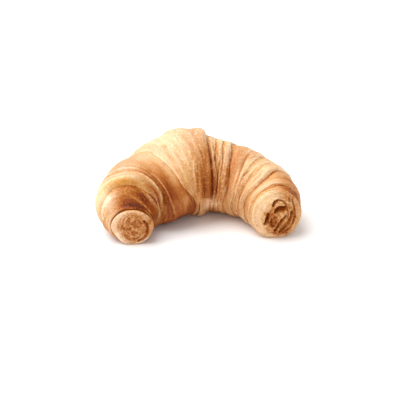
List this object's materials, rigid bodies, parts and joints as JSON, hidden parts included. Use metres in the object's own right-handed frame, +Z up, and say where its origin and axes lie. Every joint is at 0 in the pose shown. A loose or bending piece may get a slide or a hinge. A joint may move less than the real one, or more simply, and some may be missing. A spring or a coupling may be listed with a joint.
{
  "type": "filled crescent pastry",
  "caption": "Whole apricot cornetto: a crescent rolled from layered dough, with overlapping wraps, a raised tongue over the crown, a knob at the left tip and an open scroll at the right end",
  "frame": {"origin": "middle of the footprint, on the surface the cornetto rests on", "axes": "+X runs along the crescent's long way towards the open scroll, +Y away from the bay between the two arms, +Z up"},
  "size_m": [0.1456, 0.0954, 0.0601],
  "materials": {
    "baked_crust": "dry, flaky baked dough with a faint sheen on its ridges"
  },
  "bodies": {
    "root": {"cornetto": "baked_crust"}
  },
  "joints": []
}
